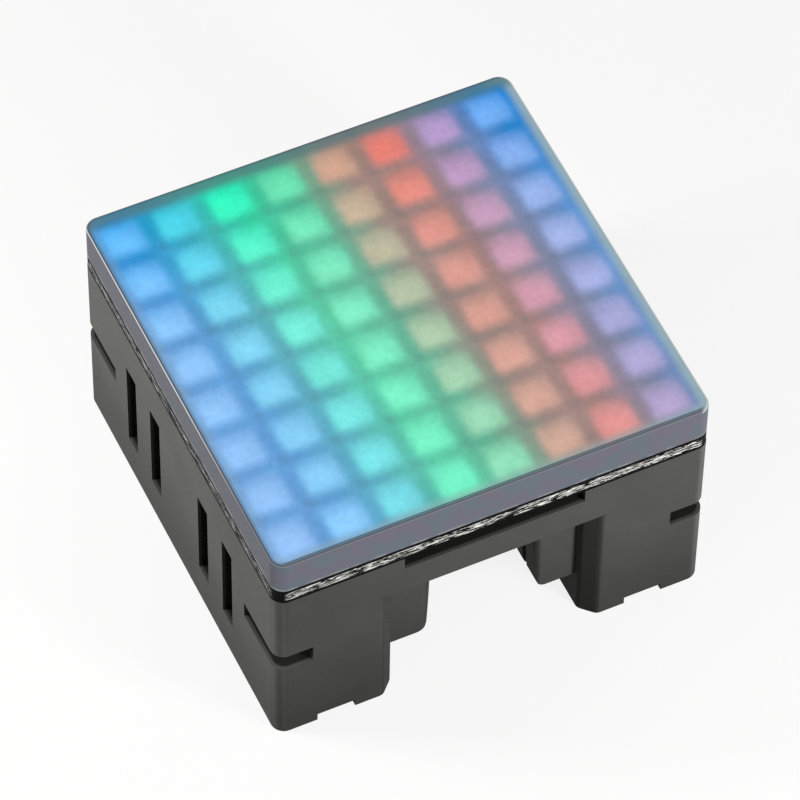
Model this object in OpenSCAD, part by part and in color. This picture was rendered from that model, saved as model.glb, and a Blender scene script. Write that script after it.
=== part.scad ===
// 8 x 8 colour LED matrix module on a moulded stand.
// +Z is up, X runs along the front wall, Y runs from the front to the back.
// The origin is under the middle of the module, on the plane it stands on.

/* [Matrix] */
// Spacing of the lit cells along a row and along a column
pitch = 4.9; // [4.7:0.1:5.6]
// Plain margin between the outermost cells and the side of the module
edge_margin = 0.4; // [0.2:0.1:1.5]
// Clear opening of one cell in the light baffle
cell_opening = 2.9; // [2.4:0.1:3]
// Width of one LED package
led_w = 2; // [1.5:0.1:2.2]
// Height of one LED package
led_h = 0.8; // [0.5:0.1:1.2]

/* [Diffuser cap] */
// Height of the cap's skirt, from the LED board to the face
cap_h = 3.5; // [3:0.1:5]
// Thickness of the frosted face
cap_face_t = 1.2; // [0.8:0.1:1.6]
// Thickness of the cap's skirt
cap_wall = 0.9; // [0.6:0.1:1]
// Radius of the cap's vertical corners
cap_corner_r = 1.3; // [0.9:0.1:3]
// Rounding along the upper edge of the cap
cap_edge_r = 0.3; // [0.2:0.1:0.8]
// Diameter of the cap's locating pins
cap_pin_d = 1.9; // [1.5:0.1:1.9]
// How far the pins reach into the spacers
cap_pin_reach = 1.8; // [1:0.1:2.2]

/* [Boards] */
// Thickness of the LED board
led_board_t = 1.6; // [0.8:0.1:2]
// Thickness of the driver board
driver_board_t = 1; // [0.8:0.1:1.6]
// Height of the driver board's underside above the ground
deck_z = 12.4; // [11.8:0.1:13]
// Gap between the driver board and the housing wall
board_gap = 0.3; // [0.2:0.1:0.8]

/* [Housing] */
// Height of the moulded housing
housing_h = 18.8; // [18.2:0.1:22]
// Thickness of the outer walls
wall = 2; // [1.6:0.1:2.4]
// Radius of the housing's vertical corners
corner_r = 1.2; // [0.8:0.1:2]
// Radius in the corners of the hollow
hollow_r = 0.8; // [0.4:0.1:1.2]

/* [Cable bay] */
// Clear width between the legs of the front wall
bay_w = 17.6; // [16:0.1:18]
// Height of the beam's lower edge above the ground
beam_z = 14.3; // [13.8:0.1:15.4]
// Thickness of the beam over the bay
beam_t = 1.2; // [0.8:0.1:1.6]
// Slant of the legs' edges at the mouth of the bay
leg_edge = 1.3; // [0.6:0.1:1.4]
// Rounding at both ends of the slant
leg_edge_r = 0.8; // [0.4:0.1:1]
// Width of the window over the beam
window_w = 16.6; // [12:0.1:17]
// Height of the window over the beam
window_h = 1.4; // [1:0.1:2.4]
// Thickness of the walls along both sides of the bay
bay_wall = 1.4; // [1.2:0.1:2]

/* [Plug guides] */
// Gap between the two guide blocks at the driver board
guide_gap = 9.4; // [9:0.1:10.4]
// How much each guide's inner side leans outwards at its foot
guide_lean = 0.5; // [0:0.1:1]
// Depth of a guide block behind the wall
guide_depth = 3.8; // [3:0.1:4]
// Height of the guides' feet above the ground
guide_foot_z = 4.2; // [3:0.1:5]
// Rounding of the guides' inner foot edge
guide_foot_r = 0.9; // [0.3:0.1:1.2]
// Rounding of the guides' upright edges, seen from above
guide_edge_r = 0.8; // [0.3:0.1:1.2]
// Width of the latch groove across a guide
latch_w = 0.7; // [0.4:0.1:1]
// Depth of the latch groove
latch_deep = 0.8; // [0.4:0.1:1.2]

/* [Slots and notches] */
// Width of the tall slots in the side walls
vent_w = 2; // [1.2:0.1:2.6]
// Height of the tall slots' lower end
vent_z = 4.2; // [3:0.1:6]
// Length of the tall slots
vent_h = 10; // [8:0.1:11]
// Distance of the inner pair of slots from the middle
vent_step = 5; // [4:0.1:5.4]
// Height of the panel slots' lower face
panel_slot_z = 9.2; // [8:0.1:9.8]
// Height of the panel slots, for the edge of a thin panel
panel_slot_h = 1.8; // [1.2:0.1:2.4]
// Length of the panel slots along the front and back walls
panel_slot_x = 3.4; // [2.6:0.1:4.4]
// Length of the panel slots along the side walls
panel_slot_y = 6.5; // [4:0.1:7]
// Distance of the foot notches from the side of the module
notch_x = 3.8; // [3:0.1:5]
// Width of the foot notches
notch_w = 3.5; // [2:0.1:5]
// Height of the foot notches
notch_h = 0.8; // [0.4:0.1:1.4]

/* [Fasteners] */
// Diameter of the screws
screw_d = 1.9; // [1.5:0.1:1.9]
// Length of the screws under the head
screw_l = 11.5; // [11:0.1:12]
// Diameter of the screw heads
head_d = 3.8; // [3:0.1:4.2]
// Height of the screw heads
head_h = 1.3; // [0.8:0.1:1.6]
// Outer diameter of the screw bosses
boss_d = 5.6; // [5:0.1:6]
// Height of the bosses' lower end above the ground
boss_z = 5; // [4:0.1:5.6]
// Outer diameter of the spacers between the boards
spacer_d = 4.4; // [3.6:0.1:5]
// Bore of the spacers
spacer_bore = 2; // [2:0.05:2.4]
// Hole through the bosses and the driver board
screw_hole = 2.2; // [2.1:0.1:2.6]

/* [Cable socket] */
// Outer width of the four-way socket
socket_w = 10; // [9.6:0.1:11]
// Height of the socket
socket_h = 5.6; // [5.2:0.1:6.2]
// Depth of the socket
socket_d = 8; // [7:0.1:9]
// Thickness of the socket's walls
socket_wall = 0.7; // [0.5:0.1:0.9]
// Spacing of the socket's contacts
contact_pitch = 2; // [1.6:0.1:2]

/* [Hidden] */
$fn = 48;

cells = 8;
eps = 0.01;                                   // overrun of a cut past a face
seat_gap = 0.3;                               // room between neighbours that don't touch
side = cells * pitch + 2 * edge_margin;       // the module is square
half = side / 2;
hollow = side - 2 * wall;                     // width of the housing's hollow
board_z = housing_h;                          // underside of the LED board
board_top = board_z + led_board_t;
deck_top = deck_z + driver_board_t;
post_at = (cells / 2 - 1) * pitch;            // pins and screws stand where four cells meet
posts = [[-1, -1], [1, -1], [1, 1], [-1, 1]];
bay_half = bay_w / 2;
guide_half = guide_gap / 2;
cap_inside = side - 2 * cap_wall;
cap_inside_r = 0.6;
baffle_gap = 0.15;
baffle_h = cap_h - cap_face_t - seat_gap;
baffle_hole = cap_pin_d + 0.4;

// ------------------------------------------------------------ shared shapes

// Upright plate with rounded vertical corners, standing on z = 0
module rounded_plate(w, d, r, h) {
  linear_extrude(h) {
    square([w - 2 * r, d], center = true);
    square([w, d - 2 * r], center = true);
    for (sx = [-1, 1], sy = [-1, 1])
      translate([sx * (w / 2 - r), sy * (d / 2 - r)]) circle(r);
  }
}

// Repeats its children, drawn for the front right, at the four corners
module at_posts() {
  for (p = posts) translate([p[0] * post_at, p[1] * post_at, 0]) children();
}

// Box given by its low corner and its high corner
module block(low, high) {
  translate(low) cube(high - low);
}

function cell_at(i) = (i - (cells - 1) / 2) * pitch;

// ------------------------------------------------------------ diffuser cap

module cap_shell() {
  r = cap_corner_r;
  c = half - r;
  hull() {
    for (sx = [-1, 1], sy = [-1, 1]) translate([sx * c, sy * c, 0]) {
      cylinder(r = r, h = cap_h - cap_edge_r, $fn = 32);
      translate([0, 0, cap_h - cap_edge_r])
        rotate_extrude($fn = 32) translate([r - cap_edge_r, 0]) circle(cap_edge_r, $fn = 24);
    }
  }
}

module diffuser_cap() {
  pin_top = board_top + cap_h - cap_face_t;
  pin_tip = board_z - cap_pin_reach;
  color([0.62, 0.68, 0.76]) {
    difference() {
      translate([0, 0, board_top]) cap_shell();
      translate([0, 0, board_top - eps])
        rounded_plate(cap_inside, cap_inside, cap_inside_r, cap_h - cap_face_t + eps);
    }
    at_posts() translate([0, 0, pin_tip])
      cylinder(d = cap_pin_d, h = pin_top - pin_tip + cap_face_t / 2);
  }
}

// ------------------------------------------------------------ light baffle

module light_baffle() {
  w = cap_inside - 2 * baffle_gap;
  color([0.16, 0.16, 0.17]) translate([0, 0, board_top])
    difference() {
      rounded_plate(w, w, cap_inside_r - baffle_gap, baffle_h);
      for (i = [0 : cells - 1], j = [0 : cells - 1])
        translate([cell_at(i) - cell_opening / 2, cell_at(j) - cell_opening / 2, -eps])
          cube([cell_opening, cell_opening, baffle_h + 2 * eps]);
      at_posts() translate([0, 0, -eps]) cylinder(d = baffle_hole, h = baffle_h + 2 * eps);
    }
}

// ------------------------------------------------------------ LEDs

led_well_d = led_w * 0.75;
led_well_deep = led_h / 2;

module led_package() {
  difference() {
    translate([-led_w / 2, -led_w / 2, 0]) cube([led_w, led_w, led_h]);
    translate([0, 0, led_h - led_well_deep])
      cylinder(d1 = led_well_d * 0.8, d2 = led_well_d, h = led_well_deep + eps, $fn = 24);
  }
}

module led_row(row) {
  color([0.93, 0.93, 0.9]) for (i = [0 : cells - 1])
    translate([cell_at(i), cell_at(row - 1), board_top]) led_package();
}

// ------------------------------------------------------------ boards

module led_board() {
  color([0.06, 0.06, 0.07]) translate([0, 0, board_z])
    difference() {
      rounded_plate(side, side, cap_corner_r, led_board_t);
      at_posts() translate([0, 0, -eps]) cylinder(d = screw_hole, h = led_board_t + 2 * eps);
    }
}

module driver_board() {
  w = hollow - 2 * board_gap;
  color([0.05, 0.2, 0.1]) translate([0, 0, deck_z])
    difference() {
      rounded_plate(w, w, hollow_r + board_gap, driver_board_t);
      at_posts() translate([0, 0, -eps]) cylinder(d = screw_hole, h = driver_board_t + 2 * eps);
    }
}

// ------------------------------------------------------------ housing

housing_grey = [0.3, 0.3, 0.295];

// What is cut from both legs' edges at the mouth of the bay, in plan: a slant with rounded ends
module leg_edge_plan() {
  r = leg_edge_r;
  t = r * tan(22.5);                          // a rounding starts this far from the corner it takes
  reach = leg_edge + t;
  d = t * sqrt(0.5);
  for (sx = [0, 1]) mirror([sx, 0, 0]) translate([bay_half, -half]) difference() {
    translate([0, -eps]) square([reach, reach + eps]);
    polygon([[leg_edge - d, d], [reach, r], [reach + eps, reach + eps], [r, reach + eps],
             [d, leg_edge - d]]);
    translate([reach, r]) circle(r);
    translate([r, reach]) circle(r);
  }
}

// Everything that is cut from the front wall, and again from the back wall
module wall_cuts() {
  block([-bay_half, -half - eps, -eps], [bay_half, -half + wall + eps, beam_z]);
  // Window over the beam, under the LED board
  block([-window_w / 2, -half - eps, housing_h - window_h],
        [window_w / 2, -half + wall + eps, housing_h + eps]);
  // The beam is thinner than the wall
  block([-bay_half, -half + beam_t, beam_z - eps],
        [bay_half, -half + wall + eps, housing_h - window_h + eps]);
  // Foot notches
  for (sx = [-1, 1])
    translate([sx * (half - notch_x - notch_w / 2) - notch_w / 2, -half - eps, -eps])
      cube([notch_w, wall + 2 * eps, notch_h + eps]);
}

// Slots round each corner for the edge of a panel
module panel_slots() {
  keep = hollow - 1.2;
  difference() {
    for (sx = [0, 1], sy = [0, 1]) mirror([sx, 0, 0]) mirror([0, sy, 0])
      block([half - panel_slot_x, half - panel_slot_y, panel_slot_z],
            [half + eps, half + eps, panel_slot_z + panel_slot_h]);
    translate([-keep / 2, -keep / 2, 0]) cube([keep, keep, housing_h]);
  }
}

module vent_slots() {
  for (sx = [0, 1], k = [-2, -1, 1, 2]) mirror([sx, 0, 0])
    translate([half - wall - eps, k * vent_step - vent_w / 2, vent_z])
      cube([wall + 2 * eps, vent_w, vent_h]);
}

// Outline of the right-hand guide block, seen from the front: x along, z up
module guide_face() {
  inner_foot = guide_half + guide_lean;
  r = guide_foot_r;
  difference() {
    polygon([[bay_half + eps, guide_foot_z], [inner_foot, guide_foot_z],
             [guide_half, deck_z], [bay_half + eps, deck_z]]);
    difference() {
      translate([inner_foot - r, guide_foot_z - eps]) square([2 * r, r + eps]);
      translate([inner_foot + r, guide_foot_z + r]) circle(r);
      translate([inner_foot + r, guide_foot_z - 2 * eps]) square([r + eps, r + 3 * eps]);
    }
  }
}

// Plan of the right-hand guide block, with its inner corners rounded
module guide_plan() {
  front = -half + wall;
  r = guide_edge_r;
  inner = guide_half;
  translate([inner + r, front]) square([bay_half - inner - r + eps, guide_depth]);
  translate([inner, front + r]) square([2 * r, guide_depth - 2 * r]);
  for (y = [front + r, front + guide_depth - r]) translate([inner + r, y]) circle(r);
}

module guide_block() {
  back = -half + wall + guide_depth;
  difference() {
    intersection() {
      translate([0, back, 0]) rotate([90, 0, 0]) linear_extrude(guide_depth) guide_face();
      linear_extrude(deck_z) guide_plan();
    }
    // Latch groove under the block and up its inner side
    difference() {
      block([guide_half - eps, -half + wall + guide_depth / 2, guide_foot_z - eps],
            [bay_half - bay_wall / 2, -half + wall + guide_depth / 2 + latch_w, deck_z + eps]);
      block([guide_half + guide_lean + latch_deep, -half, guide_foot_z + latch_deep],
            [bay_half, half, deck_z + 2 * eps]);
    }
  }
}

// Boss for a screw, tied to both outer walls by webs
module boss() {
  web = 1;
  reach = half - wall / 2 - post_at;
  translate([0, 0, boss_z]) {
    cylinder(d = boss_d, h = deck_z - boss_z);
    translate([0, -web / 2, 0]) cube([reach, web, deck_z - boss_z]);
    translate([-web / 2, 0, 0]) cube([web, reach, deck_z - boss_z]);
  }
}

module housing() {
  color(housing_grey) difference() {
    union() {
      difference() {
        rounded_plate(side, side, corner_r, housing_h);
        translate([0, 0, -eps]) rounded_plate(hollow, hollow, hollow_r, housing_h + 2 * eps);
        for (sy = [0, 1]) mirror([0, sy, 0]) wall_cuts();
      }
      for (sx = [0, 1]) mirror([sx, 0, 0]) {
        block([bay_half, -half + wall / 2, 0], [bay_half + bay_wall, half - wall / 2, deck_z]);
        for (sy = [0, 1]) mirror([0, sy, 0]) {
          guide_block();
          translate([post_at, post_at, 0]) boss();
        }
      }
    }
    for (sy = [0, 1]) mirror([0, sy, 0])
      translate([0, 0, -eps]) linear_extrude(beam_z + eps) leg_edge_plan();
    vent_slots();
    panel_slots();
    at_posts() translate([0, 0, boss_z - eps]) cylinder(d = screw_hole, h = deck_z - boss_z + 2 * eps);
  }
}

// ------------------------------------------------------------ spacers and screws

module spacer(n) {
  p = posts[n - 1];
  color([0.78, 0.7, 0.42]) translate([p[0] * post_at, p[1] * post_at, deck_top])
    difference() {
      cylinder(d = spacer_d, h = board_z - deck_top);
      translate([0, 0, -eps]) cylinder(d = spacer_bore, h = board_z - deck_top + 2 * eps);
    }
}

module screw(n) {
  p = posts[n - 1];
  recess = head_h * 0.6;
  color([0.72, 0.72, 0.74]) translate([p[0] * post_at, p[1] * post_at, boss_z])
    difference() {
      union() {
        cylinder(d = screw_d, h = screw_l);
        translate([0, 0, -head_h]) cylinder(d1 = head_d * 0.84, d2 = head_d, h = head_h / 2);
        translate([0, 0, -head_h / 2]) cylinder(d = head_d, h = head_h / 2);
      }
      for (a = [0, 90]) rotate([0, 0, a])
        translate([-head_d * 0.28, -head_d * 0.07, -head_h - eps])
          cube([head_d * 0.56, head_d * 0.14, recess + eps]);
    }
}

// ------------------------------------------------------------ board-to-board links

link_w = 3;
link_l = 2 * (post_at - spacer_d / 2 - 2.5);  // ends clear of the spacers
link_x = post_at - seat_gap;
link_split = (deck_top + board_z) / 2;
link_ways = 15;

module link_half(x, low, high) {
  block([x - link_w / 2, -link_l / 2, low], [x + link_w / 2, link_l / 2, high]);
}

module link_socket(sx) {
  slot_w = link_w * 0.4;
  color([0.88, 0.86, 0.78]) difference() {
    link_half(sx * link_x, deck_top, link_split);
    block([sx * link_x - slot_w / 2, -link_l / 2 + 1, link_split - 1.2],
          [sx * link_x + slot_w / 2, link_l / 2 - 1, link_split + eps]);
  }
}

module link_plug(sx) {
  tongue = link_w * 0.2;
  color([0.12, 0.12, 0.13]) {
    link_half(sx * link_x, link_split, board_z);
    block([sx * link_x - tongue / 2, -link_l / 2 + 1.4, link_split - 0.9],
          [sx * link_x + tongue / 2, link_l / 2 - 1.4, link_split + eps]);
  }
}

module link_contacts(sx) {
  foot = 0.6;
  step = (link_l - 2) / (link_ways - 1);
  color([0.8, 0.75, 0.6]) for (k = [0 : link_ways - 1], s = [-1, 1])
    translate([sx * link_x + s * (link_w / 2 + foot / 2), -link_l / 2 + 1 + k * step, deck_top])
      translate([-foot / 2, -0.2, 0]) cube([foot, 0.4, 0.25]);
}

// ------------------------------------------------------------ cable socket

socket_front = -half + wall + guide_depth + seat_gap;
socket_cavity_d = socket_d - 1.6;
contacts = 4;
contact_t = 0.5;
tail_gap = 0.4;                               // from the socket's rear wall to the contacts' tails
tail_foot = 0.9;
tails_end = socket_front + socket_d + tail_gap + contact_t + tail_foot;

module cable_socket() {
  top = deck_z;
  low = deck_z - socket_h;
  w = socket_wall;
  color([0.9, 0.89, 0.84]) difference() {
    block([-socket_w / 2, socket_front, low], [socket_w / 2, socket_front + socket_d, top]);
    block([-socket_w / 2 + w, socket_front - eps, low + w],
          [socket_w / 2 - w, socket_front + socket_cavity_d, top - w]);
    // Latch windows in the floor of the socket
    for (sx = [-1, 1]) block([sx * socket_w * 0.3 - 0.8, socket_front + 1.6, low - eps],
                             [sx * socket_w * 0.3 + 0.8, socket_front + 3.4, low + w + eps]);
    // Bores for the contacts through the rear wall
    for (k = [0 : contacts - 1])
      translate([(k - (contacts - 1) / 2) * contact_pitch - contact_t / 2, socket_front,
                 low + socket_h / 2 - contact_t / 2])
        cube([contact_t, socket_d + eps, contact_t]);
  }
}

module socket_contacts() {
  mid = deck_z - socket_h / 2;
  tail = socket_front + socket_d + tail_gap;
  color([0.85, 0.8, 0.62]) for (k = [0 : contacts - 1])
    translate([(k - (contacts - 1) / 2) * contact_pitch - contact_t / 2, 0, 0]) {
      block([0, socket_front + 1.6, mid - contact_t / 2], [contact_t, tail, mid + contact_t / 2]);
      block([0, tail - eps, mid - contact_t / 2], [contact_t, tail + contact_t, deck_z]);
      block([0, tail + contact_t - eps, deck_z - 0.25], [contact_t, tails_end, deck_z]);
    }
}

// ------------------------------------------------------------ chips

lead_t = 0.15;
black_epoxy = [0.08, 0.08, 0.085];
tinned = [0.78, 0.78, 0.79];
chip_rise = 0.1;                              // gap under a chip's body

// Moulded body with drafted sides, standing on z = chip_rise
module chip_body(w, d, h) {
  draft = 0.12;
  difference() {
    translate([-w / 2, -d / 2, chip_rise]) cube([w, d, h]);
    for (a = [0, 180]) rotate([0, 0, a]) {
      translate([w / 2, 0, chip_rise + h / 2]) rotate([0, -atan(draft / (h / 2)), 0])
        translate([0, -d, 0]) cube([1, 2 * d, h]);
      translate([0, d / 2, chip_rise + h / 2]) rotate([atan(draft / (h / 2)), 0, 0])
        translate([-w, 0, 0]) cube([2 * w, 1, h]);
    }
    // Dimple at the first pin
    translate([-w / 2 + 0.9, d / 2 - 0.9, chip_rise + h - 0.1]) cylinder(r = 0.3, h = 1, $fn = 24);
  }
}

// One gull-wing lead: leaves the body at x = 0, its foot ends at x = run
module gull_lead(run, rise, w) {
  shoulder = run * 0.3;
  knee = run * 0.5;
  translate([0, w / 2, 0]) rotate([90, 0, 0]) linear_extrude(w)
    polygon([[0, rise], [shoulder, rise], [knee, lead_t], [run, lead_t], [run, 0],
             [knee - lead_t, 0], [shoulder - lead_t, rise - lead_t], [0, rise - lead_t]]);
}

// Leads along both long sides of a body of width w: n a side, spaced step
module lead_rows(w, rise, run, n, step, lead_w) {
  for (k = [0 : n - 1], a = [0, 180])
    rotate([0, 0, a]) translate([w / 2, (k - (n - 1) / 2) * step, 0]) gull_lead(run, rise, lead_w);
}

// Places its children on the driver board's upper face, or upside down under it
module on_deck(x, y) { translate([x, y, deck_top]) children(); }
module under_deck(x, y) { translate([x, y, deck_z]) rotate([180, 0, 0]) children(); }

controller_w = 7;
controller_h = 1.4;
controller_run = 1;                           // length of the leads past the body
controller_clear = 2.5;                       // room between the tails and the controller
controller_at = [0, tails_end + controller_clear + controller_run + controller_w / 2];

module controller_chip() {
  color(black_epoxy) under_deck(controller_at[0], controller_at[1])
    chip_body(controller_w, controller_w, controller_h);
}

module controller_leads() {
  color(tinned) under_deck(controller_at[0], controller_at[1])
    for (a = [0, 90]) rotate([0, 0, a])
      lead_rows(controller_w, chip_rise + controller_h / 2, controller_run, 12, 0.5, 0.22);
}

crystal_l = 5;
crystal_w = 3.2;
crystal_at = [0, controller_at[1] + controller_w / 2 + controller_run + crystal_w / 2 + 0.9];

module crystal_can() {
  color([0.8, 0.8, 0.82]) under_deck(crystal_at[0], crystal_at[1]) {
    rounded_plate(crystal_l, crystal_w, 0.4, 0.4);
    translate([0, 0, 0.4]) rounded_plate(crystal_l - 0.4, crystal_w - 0.4, 1, 0.9);
  }
}

regulator_w = 2.5;
regulator_l = 4.5;
regulator_h = 1.5;
regulator_at = [crystal_at[0] - crystal_l / 2 - regulator_w / 2 - 1.6, crystal_at[1] - 0.4];

module regulator() {
  color(black_epoxy) under_deck(regulator_at[0], regulator_at[1])
    chip_body(regulator_w, regulator_l, regulator_h);
}

module regulator_leads() {
  color(tinned) under_deck(regulator_at[0], regulator_at[1])
    for (k = [-1, 0, 1]) translate([regulator_w / 2, k * 1.5, 0]) gull_lead(0.8, 0.5, 0.45);
}

column_driver_w = 5.3;
column_driver_l = 8.2;
column_driver_h = 1.75;
function column_driver_at(n) = [(n * 2 - 3) * (column_driver_w / 2 + 3.55), post_at * 0.48];

module column_driver(n) {
  at = column_driver_at(n);
  color(black_epoxy) on_deck(at[0], at[1]) chip_body(column_driver_w, column_driver_l, column_driver_h);
}

module column_leads(n) {
  at = column_driver_at(n);
  color(tinned) on_deck(at[0], at[1])
    lead_rows(column_driver_w, chip_rise + column_driver_h / 2, 1.2, 12, 0.65, 0.28);
}

switch_w = 3.9;
switch_l = 4.9;
switch_h = 1.5;
switch_run = 1;
switch_step = switch_w + 2 * switch_run + 0.2;
function switch_at(n) = [(n - 2.5) * switch_step, -post_at * 0.27];

module row_switch(n) {
  at = switch_at(n);
  color(black_epoxy) on_deck(at[0], at[1]) chip_body(switch_w, switch_l, switch_h);
}

module switch_leads(n) {
  at = switch_at(n);
  color(tinned) on_deck(at[0], at[1])
    lead_rows(switch_w, chip_rise + switch_h / 2, switch_run, 4, 1.27, 0.4);
}

tank_l = 6;
tank_w = 3.2;
tank_h = 2.6;
tank_tab = [0.5, 0.8];                        // reach and height of the end tabs
tank_at = [0, -post_at * 0.82];

module tank_capacitor() {
  color([0.85, 0.6, 0.15]) on_deck(tank_at[0], tank_at[1]) {
    rounded_plate(tank_l, tank_w, 0.2, tank_h);
    for (s = [0, 1]) mirror([s, 0, 0]) translate([tank_l / 2 - eps, -tank_w * 0.35, 0])
      cube([tank_tab[0] + eps, tank_w * 0.7, tank_tab[1]]);
  }
}

// Ceramic chip part with its length along X
module chip_part(l, w, h) {
  translate([-l / 2, -w / 2, 0]) cube([l, w, h]);
}

part_step = 1.8;                              // spacing of the small parts in a row
small_part = [1.6, 0.8, 0.5];
large_part = [2, 1.2, 1];
large_part_step = 4.3;
beside_controller = controller_w / 2 + controller_run + seat_gap + small_part[0] / 2 + 1;
beside_socket = socket_w / 2 + small_part[0] / 2 + 1.3;

// By the controller underneath, and at the back of the driver board's upper face
module capacitors() {
  color([0.72, 0.58, 0.42]) {
    for (sx = [-1, 1], k = [-1, 0, 1])
      under_deck(sx * beside_controller, controller_at[1] + (k - 0.5) * part_step)
        chip_part(small_part[0], small_part[1], 0.8);
    for (k = [-1.5, -0.5, 0.5, 1.5]) on_deck(k * large_part_step, post_at - 1.1)
      chip_part(large_part[0], large_part[1], large_part[2]);
  }
}

// On both sides of the socket underneath, and beside the tank capacitor above
module resistors() {
  color([0.12, 0.12, 0.14]) {
    for (sx = [-1, 1], k = [0, 1, 2])
      under_deck(sx * beside_socket, socket_front + socket_d / 2 + (k - 0.6) * part_step)
        chip_part(small_part[0], small_part[1], small_part[2]);
    for (sx = [-1, 1], k = [0, 1])
      on_deck(sx * (tank_l / 2 + 2 + k * part_step), tank_at[1]) rotate([0, 0, 90])
        chip_part(small_part[0], small_part[1], small_part[2]);
  }
}

// ------------------------------------------------------------ output

diffuser_cap();
light_baffle();
for (row = [1 : cells]) led_row(row);
led_board();
driver_board();
housing();
for (n = [1 : 4]) {
  spacer(n);
  screw(n);
  row_switch(n);
  switch_leads(n);
}
for (s = [[-1, "left"], [1, "right"]]) {
  link_plug(s[0]);
  link_socket(s[0]);
  link_contacts(s[0]);
}
for (n = [1 : 2]) {
  column_driver(n);
  column_leads(n);
}
cable_socket();
socket_contacts();
controller_chip();
controller_leads();
crystal_can();
regulator();
regulator_leads();
tank_capacitor();
capacitors();
resistors();
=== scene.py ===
"""LED dot matrix module: a frosted cap over 64 lit cells, on a moulded cable housing.

Runs inside Blender around the packed model. X runs along the front wall with the cable bay,
Y to the back and Z up, in metres. The finishes work in millimetres of the same axes.
"""

import math

import bmesh
import bpy
from bpy.props import FloatProperty, FloatVectorProperty, PointerProperty
from bpy.types import Operator, Panel, PropertyGroup
from mathutils import Matrix, Vector


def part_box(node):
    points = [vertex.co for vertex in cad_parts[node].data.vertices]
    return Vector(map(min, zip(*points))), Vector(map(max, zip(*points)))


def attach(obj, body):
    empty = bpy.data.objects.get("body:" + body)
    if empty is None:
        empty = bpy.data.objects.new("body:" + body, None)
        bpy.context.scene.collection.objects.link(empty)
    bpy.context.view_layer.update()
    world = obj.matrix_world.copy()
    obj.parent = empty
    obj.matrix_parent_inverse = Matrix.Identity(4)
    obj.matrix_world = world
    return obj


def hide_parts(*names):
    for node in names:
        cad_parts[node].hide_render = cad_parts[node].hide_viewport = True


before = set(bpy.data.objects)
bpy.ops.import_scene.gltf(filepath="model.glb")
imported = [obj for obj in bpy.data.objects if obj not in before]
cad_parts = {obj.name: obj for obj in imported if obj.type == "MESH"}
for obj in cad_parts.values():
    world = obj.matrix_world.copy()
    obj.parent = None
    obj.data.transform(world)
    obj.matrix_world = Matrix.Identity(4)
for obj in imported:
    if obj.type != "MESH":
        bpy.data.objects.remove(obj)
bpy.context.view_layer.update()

bl_info = {
    "name": "LED dot matrix module",
    "version": (1, 0, 0),
    "blender": (4, 5, 0),
    "location": "3D View > Sidebar > Matrix",
    "description": "Dresses an 8 x 8 colour LED matrix module with its finishes and a studio",
    "category": "Object",
}

MM = 0.001
CELLS = 8


def shade(red, green, blue):
    """A colour picked on a 0 to 255 screen scale, as the linear values that the finishes use."""
    linear = []
    for value in (red, green, blue):
        part = value / 255
        linear.append(part / 12.92 if part <= 0.04045 else ((part + 0.055) / 1.055) ** 2.4)
    return tuple(linear)


def colour_of(name, text, red, green, blue):
    return FloatVectorProperty(
        name=name, description=text, subtype="COLOR", size=3, min=0, max=1,
        default=shade(red, green, blue),
    )


def length_of(name, text, millimetres):
    return FloatProperty(
        name=name, description=text, unit="LENGTH", precision=5, min=0, default=millimetres * MM,
    )


# ---------------------------------------------------------------- sizes and colours

CAP_LOW, CAP_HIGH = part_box("diffuser_cap")
BOARD_LOW, BOARD_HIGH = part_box("led_board")

# The finishes read these places in millimetres.
SIDE = (CAP_HIGH[0] - CAP_LOW[0]) / MM
HALF = SIDE / 2
CAP_TOP = CAP_HIGH[2] / MM
BOARD_FACES = (BOARD_LOW[2] / MM, BOARD_HIGH[2] / MM)
BAY_WALL = 10.2          # outer face of the walls beside the bay, from the middle
UNDER_BEAM = 14.1        # just under the beams over the bay's mouths
WINDOW_SILL = 16         # about the sill of the windows under the LED board
CHAMBER_MIDDLE = SIDE * 0.37
CHAMBER_HALF = (4.1, 18)


class MatrixSizes(PropertyGroup):
    """Sizes of the cap, the lit cells and the housing's moulded edges."""

    pitch: length_of("Cell pitch", "Spacing of the lit cells", 4.9)
    face: length_of("Face thickness", "Thickness of the frosted face", 1.2)
    skirt: length_of("Skirt thickness", "Thickness of the cap's skirt", 0.9)
    cap_corner: length_of("Cap corner radius", "Radius of the cap's vertical corners", 1.3)
    cap_edge: length_of("Cap edge radius", "Rounding along the cap's upper edge", 0.3)
    pin_across: length_of("Pin diameter", "Diameter of the cap's four pins", 1.9)
    pin_place: length_of("Pin position", "Distance of each pin from the middle", 14.7)
    mould_edge: length_of("Moulded edge", "Small rounding on the housing's edges", 0.14)


class LitColours(PropertyGroup):
    """Colours of the lit cells, from the near left corner over to the right."""

    lit_0: colour_of("Periwinkle", "First lit colour of the sweep", 146, 192, 248)
    lit_1: colour_of("Sky", "Second lit colour", 136, 200, 253)
    lit_2: colour_of("Aqua", "Third lit colour", 116, 219, 237)
    lit_3: colour_of("Spring", "Fourth lit colour", 110, 249, 203)
    lit_4: colour_of("Leaf", "Fifth lit colour", 132, 228, 187)
    lit_5: colour_of("Sand", "Sixth lit colour", 207, 169, 150)
    lit_6: colour_of("Coral", "Seventh lit colour", 233, 146, 137)
    lit_7: colour_of("Orchid", "Eighth lit colour", 183, 160, 202)
    lit_8: colour_of("Iris", "Last lit colour", 141, 186, 246)


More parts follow.
